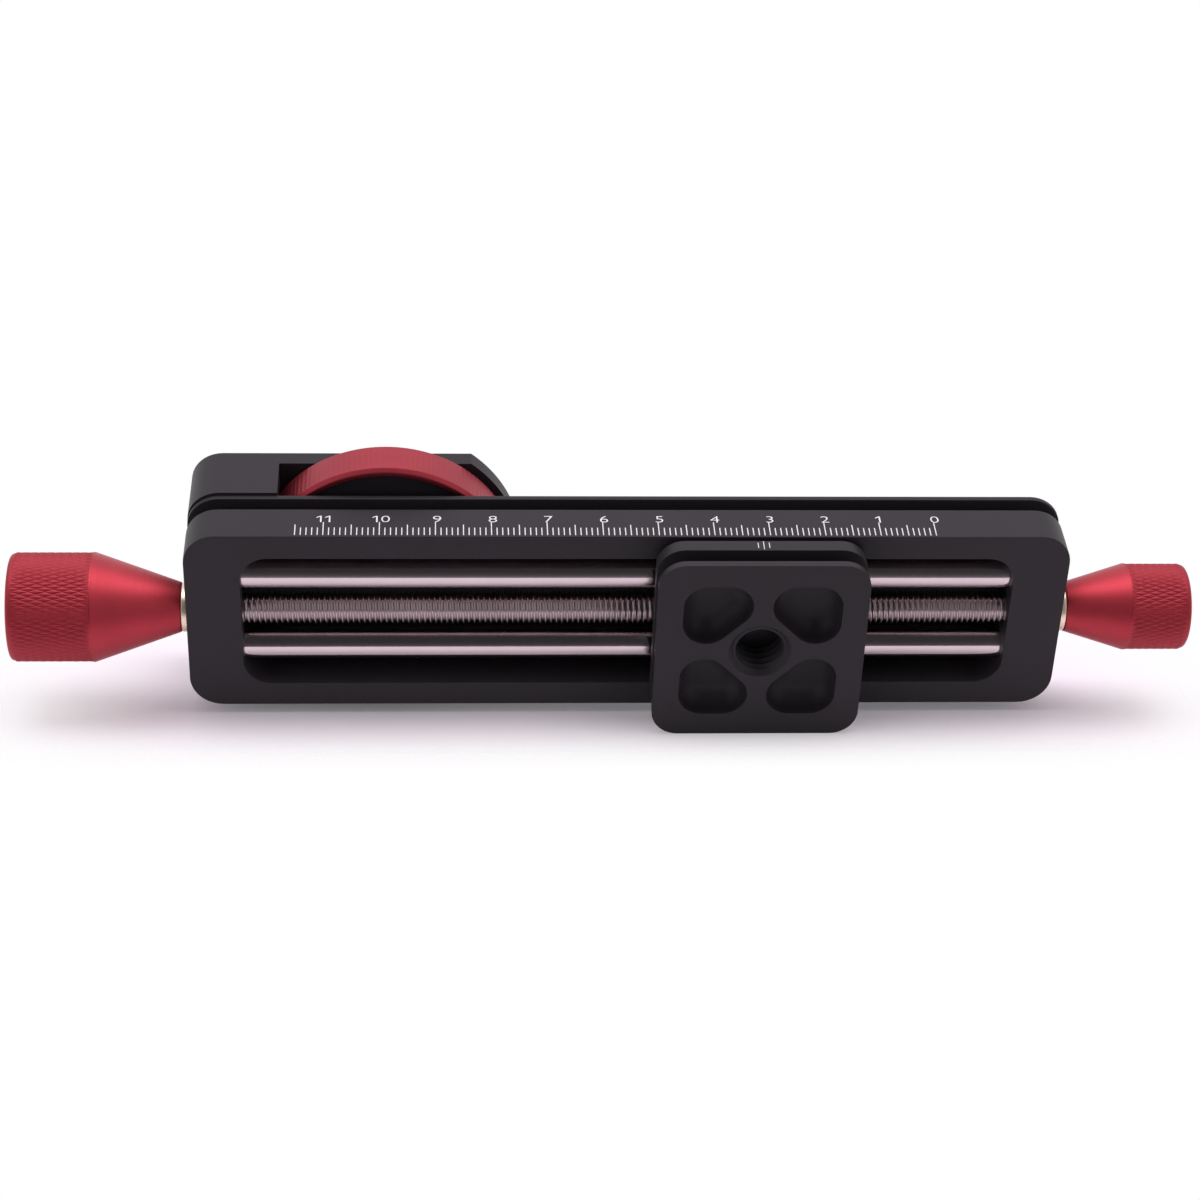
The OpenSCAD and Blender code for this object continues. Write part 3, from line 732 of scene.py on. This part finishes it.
finishPiece(
    "leftKnobGrip", makeKnob(leftKnob), redKnobMetal, "lead_screw", "left_knob", sharp=48)
finishPiece(
    "rightKnobGrip", makeKnob(rightKnob), redKnobMetal, "lead_screw", "right_knob", sharp=48)

knobGrub = {**grubScrew, "tip": 15.2125, "head": 17.2125}
knobGrubSpots = [grubSpot(leftKnob), grubSpot(rightKnob)]
finishPiece(
    "knobGrubs", keyedPins(knobGrubSpots, knobGrub), blackOxide, "lead_screw",
    "knob_grub_screws")

# Carriage: tripod foot and slide block

tripodFoot = {
    "x": 0.0, "length": 38.0, "height": 38.0, "corner": 5.0, "front": -0.9375, "grooveStart": 0.5625,
    "wall": 3.8625, "back": 6.7625, "grooveDepth": 3.0, "edge": 0.25,
    "pocketNear": 6.15, "pocketFar": 9.9, "pocketRadius": 4.4, "pocketDepth": 4.5, "pocketFillet": 3.8,
    "pocketRimAngle": 60, "threadRadius": 4.7625, "threadDepth": 0.5, "threadPitch": 1.5875,
    "threadEnd": 6.2625, "chamfer": 5.7, "chamferOver": 0.2}
slideBlock = {
    "front": 6.5, "back": 18.0125, "length": 16.0, "height": 26.8, "corner": 2.0, "edge": 0.3,
    "nutBore": 3.85, "rodBore": 3.3, "bushBore": 3.7, "bushLength": 6.5}


def pocketTool(size, sideX, sideZ):
    bm = bmesh.new()
    near, far = size["pocketNear"], size["pocketFar"]
    floor = size["front"] + size["pocketDepth"]
    for x, z in ((far, far), (near, far), (far, near)):
        for y in (size["front"] - over, floor):
            place = Matrix.Translation((sideX * x, y, sideZ * z)) @ Matrix.Rotation(radians(90), 4, "X")
            bmesh.ops.create_circle(
                bm, cap_ends=False, segments=40, radius=size["pocketRadius"], matrix=place)
    bmesh.ops.convex_hull(bm, input=bm.verts)
    inside = [vert for vert in bm.verts if not vert.link_faces]
    bmesh.ops.delete(bm, geom=inside, context="VERTS")
    bmesh.ops.dissolve_limit(bm, angle_limit=radians(1), verts=bm.verts, edges=bm.edges)
    faceOut(bm)
    onFloor = [edge for edge in bm.edges if all(abs(vert.co.y - floor) < onSpot for vert in edge.verts)]
    rim = [edge for edge in onFloor if edge.calc_face_angle() > radians(size["pocketRimAngle"])]
    roundOff(bm, rim, "EDGES", size["pocketFillet"], 8)
    return bm


def makeCarriage(foot, block):
    bm = groovedPlate(foot)
    bm = cutAway(bm, [pocketTool(foot, sideX, sideZ) for sideX in (-1, 1) for sideZ in (-1, 1)])
    softenEdges(bm, foot["edge"])
    lead = roundBar(
        "Y", (0, 0), foot["front"] - foot["chamferOver"], 0, foot["chamfer"] + foot["chamferOver"],
        foot["threadRadius"])
    thread = threadedRod(
        foot["threadEnd"] - foot["front"] + over, foot["threadRadius"], foot["threadDepth"],
        foot["threadPitch"], steps=32)
    bm = cutAway(bm, [lead, placed(thread, "Y", (0, 0), foot["front"] - over)])

    slide = roundedSlab(0, block["front"], block["back"], block["length"], block["height"], block["corner"])
    softenEdges(slide, block["edge"])
    half = block["length"] / 2
    tools = [roundBar("X", screwAxis, -half - over, half + over, block["nutBore"])]
    for side in (-1, 1):
        rodLine = (screwAxis[0], side * rodZ)
        tools += [
            roundBar("X", rodLine, -half - over, half + over, block["rodBore"]),
            roundBar("X", rodLine, -half - over, block["bushLength"] - half, block["bushBore"]),
            roundBar("X", rodLine, half - block["bushLength"], half + over, block["bushBore"])]
    joinInto(bm, cutAway(slide, tools))
    return bm


finishPiece(
    "footAndSlide", makeCarriage(tripodFoot, slideBlock), blackAnodised, "carriage",
    "carriage")

# Camera platform and pad

# the wheel's room is cut square first, from the step to well past the right end and both sides
cameraPlatform = {
    "left": -103.5, "height": 39.0, "corner": 6.0, "endRadius": 25.0, "front": 21.0125, "back": 34.0125,
    "plateFront": 30.6125, "stepX": -87.1, "roomRight": -30.0, "roomHalf": 30.0, "edge": 0.35,
    "studBore": 3.225, "ringSeat": 32.6125, "ringBore": 6.175, "screwX": -98.0, "screwZ": 13.5,
    "headSeat": 30.0125, "headBore": 3.52, "shankBore": 2.02}
cameraPad = {
    "left": -90.1, "height": 33.0, "corner": 0.6, "endRadius": 22.0, "front": 33.5125, "back": 34.6125,
    "bore": 6.175, "edge": 0.3}


def makePlatform(size, pad):
    front, back, plateFront = size["front"], size["back"], size["plateFront"]
    bm = tongueSlab(size, front, back)
    wheelRoom = bmesh.new()
    low = Vector((size["stepX"], front - over, -size["roomHalf"]))
    high = Vector((size["roomRight"], plateFront, size["roomHalf"]))
    span = high - low
    bmesh.ops.create_cube(
        wheelRoom, size=1, matrix=Matrix.Translation((low + high) / 2) @ Matrix.Diagonal((*span, 1)))
    wheelArc = roundBar("Y", wheelAxis, front - over, plateFront, size["endRadius"], segments=128)
    bm = cutAway(bm, [wheelRoom, wheelArc])
    bm = cutAway(bm, [tongueSlab(pad, pad["front"], pad["back"] + over)])
    tools = [
        roundBar("Y", wheelAxis, plateFront - over, back + over, size["studBore"]),
        roundBar("Y", wheelAxis, size["ringSeat"], back + over, size["ringBore"])]
    for side in (-1, 1):
        spot = (size["screwX"], side * size["screwZ"])
        tools += [
            roundBar("Y", spot, front - over, back + over, size["shankBore"]),
            roundBar("Y", spot, size["headSeat"], back + over, size["headBore"])]
    softenEdges(bm, size["edge"])
    return cutAway(bm, tools)


def makePad(size):
    bm = tongueSlab(size, size["front"], size["back"])
    bm = cutAway(bm, [roundBar("Y", wheelAxis, size["front"] - over, size["back"] + over, size["bore"])])
    softenEdges(bm, size["edge"], 3)
    return bm


finishPiece(
    "platformBody", makePlatform(cameraPlatform, cameraPad), blackAnodised, "rail",
    "camera_platform")
finishPiece("cameraRestPad", makePad(cameraPad), padRubber, "rail", "camera_pad")

platformScrew = {
    "x": -98.0, "z": 13.5, "tip": 13.0125, "seat": 30.0125, "top": 34.0125, "shank": 2.0, "head": 3.5,
    "tipEdge": 0.3, "seatEdge": 0.2, "topEdge": 0.4, "key": 4.0, "keyDepth": 2.0}


def makePlatformScrews(size):
    bm = bmesh.new()
    shank = size["seat"] - size["tip"]
    whole = size["top"] - size["tip"]
    for side in (-1, 1):
        spot = (size["x"], side * size["z"])
        screw = turned([
            (0, 0, 0), (0, size["shank"], size["tipEdge"]), (shank, size["shank"], 0),
            (shank, size["head"], size["seatEdge"]), (whole, size["head"], size["topEdge"]), (whole, 0, 0)],
            steps=48)
        placed(screw, "Y", spot, size["tip"])
        key = roundBar(
            "Y", spot, size["top"] - size["keyDepth"], size["top"] + over, size["key"] / 2, segments=6)
        joinInto(bm, cutAway(screw, [key]))
    return bm


finishPiece(
    "platformScrewPair", makePlatformScrews(platformScrew), blackOxide, "rail",
    "platform_screws")

# Thumbwheel with its camera screw

hubScrewRing = 5.5875  # radius of the circle that the three hub screws lie on
hubScrewSpots = []
for third in range(3):
    spot = Matrix.Rotation(third * 2 * pi / 3, 2) @ Vector((hubScrewRing, 0))
    hubScrewSpots.append((wheelAxis[0] + spot.x, spot.y))
wheelRim = {
    "front": 21.9125, "width": 8.0, "radius": 24.0, "bore": 22.4, "frontBevel": 0.7, "backBevel": 0.4,
    "edge": 0.15, "ribs": 150, "ribDepth": 0.06, "ribRun": 0.4}


def makeWheelRim(size):
    width, radius, bore, edge = (size[key] for key in ("width", "radius", "bore", "edge"))
    valley = radius - size["ribDepth"]
    bandStart, bandEnd = size["frontBevel"], width - size["backBevel"]
    bm = turned([
        (width / 2, bore, 0), (0, bore, edge), (0, radius - size["frontBevel"], edge), (bandStart, valley, 0),
        (bandStart + size["ribRun"], radius, 0), (bandEnd - size["ribRun"], radius, 0), (bandEnd, valley, 0),
        (width, radius - size["backBevel"], edge), (width, bore, edge), (width / 2, bore, 0)],
        steps=size["ribs"] * 4)

    # the ribs: two of every four vertices round the band sink
    for vert in bm.verts:
        reach = hypot(vert.co.y, vert.co.z)
        step = round(atan2(vert.co.z, vert.co.y) / pi * size["ribs"] * 2)
        if abs(reach - radius) < onSpot and step % 4 > 1:
            vert.co.y *= valley / radius
            vert.co.z *= valley / radius
    return placed(bm, "Y", wheelAxis, size["front"])


wheelHub = {
    "front": 22.7125, "width": 7.2, "radius": 22.36, "flangeRadius": 8.02, "flangeSeat": 2.0, "bore": 3.2,
    "edge": 0.25, "screwBore": 1.27, "screwEnd": 27.7125}


def makeWheelHub(size):
    width, radius, bore, edge = (size[key] for key in ("width", "radius", "bore", "edge"))
    seat, flange = size["flangeSeat"], size["flangeRadius"]
    bm = turned([
        (width / 2, bore, 0), (seat, bore, 0), (seat, flange, 0), (0, flange, edge), (0, radius, edge),
        (width, radius, edge), (width, bore, edge), (width / 2, bore, 0)], steps=128)
    placed(bm, "Y", wheelAxis, size["front"])
    return cutAway(bm, [
        roundBar("Y", spot, size["front"] + seat - over, size["screwEnd"], size["screwBore"], segments=24)
        for spot in hubScrewSpots])


cameraScrew = {
    "front": 22.7125, "flange": 8.0, "flangeWidth": 2.0, "edge": 0.3, "stem": 3.175, "stemEdge": 0.1,
    "neck": 2.675, "neckStart": 32.6625, "threadStart": 34.6125, "threadEnd": 39.1125, "threadDepth": 0.6,
    "threadPitch": 1.27, "tip": 39.6125, "tipBevel": 0.35, "tipEdge": 0.1, "screwBore": 1.27}


def makeCameraScrew(size):
    front = size["front"]
    stemEnd = size["neckStart"] - front
    neckEnd = size["threadStart"] - front
    flange, width, edge = size["flange"], size["flangeWidth"], size["edge"]
    bm = turned([
        (0, 0, 0), (0, flange, edge), (width, flange, edge), (width, size["stem"], 0),
        (stemEnd, size["stem"], size["stemEdge"]), (stemEnd, size["neck"], 0), (neckEnd, size["neck"], 0),
        (neckEnd, 0, 0)], steps=64)
    placed(bm, "Y", wheelAxis, front)
    bm = cutAway(bm, [
        roundBar("Y", spot, front - over, front + width + over, size["screwBore"], segments=24)
        for spot in hubScrewSpots])
    thread = threadedRod(
        size["threadEnd"] - size["threadStart"], size["stem"], size["threadDepth"], size["threadPitch"],
        steps=32)
    joinInto(bm, placed(thread, "Y", wheelAxis, size["threadStart"]))
    core = size["stem"] - size["threadDepth"]
    reach = size["tip"] - size["threadEnd"]
    point = turned([
        (0, 0, 0), (0, core, 0), (reach, core - size["tipBevel"], size["tipEdge"]), (reach, 0, 0)], steps=48)
    joinInto(bm, placed(point, "Y", wheelAxis, size["threadEnd"]))
    return bm


hubScrew = {**grubScrew, "tip": 27.7125, "head": 22.7125, "radius": 1.24, "key": 1.25}
retainingRing = {"front": 32.6625, "width": 0.8, "radius": 4.975, "bore": 2.7, "edge": 0.1}
slideWasher = {"front": 29.9625, "width": 0.65, "radius": 9.0, "bore": 3.225, "edge": 0.15}


def makeWasher(size):
    width, radius, bore, edge = (size[key] for key in ("width", "radius", "bore", "edge"))
    bm = turned([
        (width / 2, bore, 0), (0, bore, edge), (0, radius, edge), (width, radius, edge), (width, bore, edge),
        (width / 2, bore, 0)], steps=64)
    return placed(bm, "Y", wheelAxis, size["front"])


finishPiece(
    "ribbedRim", makeWheelRim(wheelRim), redWheelMetal, "thumbwheel", "thumbwheel_rim",
    sharp=26)
finishPiece(
    "blackHub", makeWheelHub(wheelHub), blackAnodised, "thumbwheel", "thumbwheel_hub")
finishPiece(
    "captiveScrew", makeCameraScrew(cameraScrew), stemSteel, "thumbwheel", "camera_screw")
finishPiece(
    "hubScrewSet", keyedPins(hubScrewSpots, hubScrew), blackOxide, "thumbwheel", "hub_screws")
finishPiece("screwRing", makeWasher(retainingRing), blackOxide, "thumbwheel", "retaining_ring")
finishPiece("slideWasher", makeWasher(slideWasher), naturalNylon, "rail", "wheel_washer")

# CAD pieces that stay, mostly hidden inside

keptFinish = {
    "platform_dowels": groundSteel, "lead_screw_nut": turnedBrass,
    "left_thrust_washer": blackNylon, "right_thrust_washer": blackNylon,
    "upper_left_guide_bush": sinteredBronze, "upper_right_guide_bush": sinteredBronze,
    "lower_left_guide_bush": sinteredBronze, "lower_right_guide_bush": sinteredBronze}
for node, finish in keptFinish.items():
    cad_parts[node].data.materials.clear()
    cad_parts[node].data.materials.append(finish)
print("kept CAD pieces", len(keptFinish))

# Floor, world, lamp and camera

# the rail lies on the foot's lower edge and on the wheel, so the table stands at an angle to the part
# for the camera it fades out to the white backdrop, along axis 0 or 1 from one place to another
table = {
    "foot": (-0.9375, -19.0), "wheel": (23.0125, -24.0), "gap": 0.03, "low": (-260.0, -60.0),
    "high": (220.0, 130.0), "colour": "#fbf4fb", "roughness": 0.8, "gloss": 0.1, "white": 0.1,
    "fades": [(0, -100.0, -160.0), (0, 55.0, 100.0), (1, 7.0, -15.0), (1, 28.0, 55.0)]}


def makeTable(size):
    (footY, footZ), (wheelY, wheelZ) = size["foot"], size["wheel"]
    slope = atan2(wheelZ - footZ, wheelY - footY)
    (left, near), (right, far) = size["low"], size["high"]
    bm = bmesh.new()
    place = Matrix.Translation(((left + right) / 2, (near + far) / 2, 0))
    place = place @ Matrix.Diagonal(((right - left) / 2, (far - near) / 2, 1, 1))
    bmesh.ops.create_grid(bm, x_segments=1, y_segments=1, size=1, matrix=place)
    bmesh.ops.scale(bm, vec=(mm, mm, mm), verts=bm.verts)
    mesh = meshFrom("table", bm)
    top = addObject("table", mesh)
    top.location = Vector((0, footY, footZ - size["gap"])) * mm
    top.rotation_euler.x = slope

    material, tree, where = startMaterial("paleTable")
    apart = addNode(tree, "SeparateXYZ", links={0: where})
    shown = addNode(tree, "Value")
    shown.outputs[0].default_value = 1.0
    for axis, start, end in size["fades"]:
        rise = addNode(
            tree, "MapRange",
            {"interpolation_type": "SMOOTHSTEP", "From Min": end * mm, "From Max": start * mm},
            {"Value": apart.outputs[axis]})
        shown = addNode(tree, "Math", {"operation": "MULTIPLY"}, {0: shown.outputs[0], 1: rise.outputs[0]})
    rays = addNode(tree, "LightPath").outputs
    others = addNode(tree, "Math", {"operation": "SUBTRACT", 0: 1.0}, {1: rays["Is Camera Ray"]})
    solid = addNode(tree, "Math", {"operation": "MAXIMUM"}, {0: shown.outputs[0], 1: others.outputs[0]})
    paint = addNode(
        tree, "BsdfPrincipled",
        {"Base Color": hexColour(size["colour"]), "Roughness": size["roughness"],
         "Specular IOR Level": size["gloss"]})
    direct = addNode(
        tree, "Math", {"operation": "ADD"}, {0: rays["Is Camera Ray"], 1: rays["Is Glossy Ray"]})
    seen = addNode(
        tree, "Math", {"operation": "ADD", "use_clamp": True},
        {0: direct.outputs[0], 1: rays["Is Transmission Ray"]})
    whiter = addNode(tree, "Math", {"operation": "MULTIPLY", 1: size["white"]}, {0: seen.outputs[0]})
    white = addNode(tree, "Emission", {"Strength": 1.0})
    pale = addNode(tree, "MixShader", links={0: whiter.outputs[0], 1: paint.outputs[0], 2: white.outputs[0]})
    clear = addNode(tree, "BsdfTransparent")
    blend = addNode(tree, "MixShader", links={0: solid.outputs[0], 1: clear.outputs[0], 2: pale.outputs[0]})
    addNode(tree, "OutputMaterial", links={"Surface": blend.outputs[0]})
    mesh.materials.append(material)


# a white tent seen from the part: levels by the angle up from the front
# it is white below the horizon as the table is, dim at the opening for the camera and light at both sides
room = {
    "levels": [
        (-180, 1.0), (-95, 1.0), (-80, 0.66), (-20, 0.66), (-9, 0.22), (3, 0.1), (18, 0.06), (33, 0.04),
        (84, 0.04), (96, 0.9), (180, 0.98)],
    "side": 0.8, "sideFrom": 0.25, "sideTo": 0.6, "sideRise": 0.1, "tint": (1.0, 0.94, 1.0)}


def makeWorld(size):
    world = bpy.data.worlds.new("paleRoom")
    world.use_nodes = True
    tree = world.node_tree
    tree.nodes.clear()
    where = addNode(tree, "TexCoord").outputs["Generated"]
    apart = addNode(tree, "SeparateXYZ", links={0: where})
    ahead = addNode(tree, "Math", {"operation": "MULTIPLY", 1: -1.0}, {0: apart.outputs[1]})
    angle = addNode(tree, "Math", {"operation": "ARCTAN2"}, {0: apart.outputs[2], 1: ahead.outputs[0]})
    share = addNode(tree, "MapRange", {"From Min": -pi, "From Max": pi}, {"Value": angle.outputs[0]})
    ramp = addNode(tree, "ValToRGB", links={0: share.outputs[0]})
    stops = ramp.color_ramp.elements
    while len(stops) < len(size["levels"]):
        stops.new(0.5)  # its place is set below
    for stop, (degrees, level) in zip(stops, size["levels"]):
        stop.position = (degrees + 180) / 360
        tint = size["tint"] if level < 1 else (1, 1, 1)
        stop.color = (*(level * channel for channel in tint), 1)
    aside = addNode(tree, "Math", {"operation": "ABSOLUTE"}, {0: apart.outputs[0]})
    sideways = addNode(
        tree, "MapRange",
        {"interpolation_type": "SMOOTHSTEP", "From Min": size["sideFrom"], "From Max": size["sideTo"]},
        {"Value": aside.outputs[0]})
    raised = addNode(tree, "MapRange", {"From Max": size["sideRise"]}, {"Value": apart.outputs[2]})
    beside = addNode(tree, "Math", {"operation": "MULTIPLY"}, {0: sideways.outputs[0], 1: raised.outputs[0]})
    sideColour = (*(size["side"] * channel for channel in size["tint"]), 1)
    colour = addNode(
        tree, "Mix", {"data_type": "RGBA", 7: sideColour},
        {0: beside.outputs[0], 6: ramp.outputs[0]})
    sky = addNode(tree, "Background", {"Strength": 1.0}, {"Color": colour.outputs[2]})
    addNode(tree, "OutputWorld", links={"Surface": sky.outputs[0]})
    scene.world = world


softbox = {
    "place": (-30.0, 100.0, 520.0), "aim": (-30.0, 15.0, 0.0), "width": 700.0, "depth": 300.0, "power": 1.95,
    "tint": (1.0, 0.94, 1.0)}


def makeSoftbox(size):
    lamp = bpy.data.lights.new("softbox", "AREA")
    lamp.shape = "RECTANGLE"
    lamp.size = size["width"] * mm
    lamp.size_y = size["depth"] * mm
    lamp.energy = size["power"]
    lamp.color = size["tint"]
    box = addObject("softbox", lamp)
    box.location = Vector(size["place"]) * mm
    box.rotation_euler = (Vector(size["aim"]) - Vector(size["place"])).to_track_quat("-Z", "Y").to_euler()


cameraView = {
    "place": (-59.249, -411.459, 314.297), "pitch": 36.333, "yaw": 4.166, "roll": 2.445, "lens": 86.34,
    "sensor": 36.0, "nearest": 10.0}


def makeCamera(size):
    camera = addObject("camera", bpy.data.cameras.new("camera"))
    camera.data.lens = size["lens"]
    camera.data.sensor_width = size["sensor"]
    camera.data.clip_start = size["nearest"] * mm
    turn = (
        Matrix.Rotation(-radians(size["yaw"]), 4, "Z") @ Matrix.Rotation(radians(90 - size["pitch"]), 4, "X")
        @ Matrix.Rotation(radians(size["roll"]), 4, "Z"))
    camera.matrix_world = Matrix.Translation(Vector(size["place"]) * mm) @ turn
    scene.camera = camera


makeTable(table)
makeWorld(room)
makeSoftbox(softbox)
makeCamera(cameraView)
print("stage set")
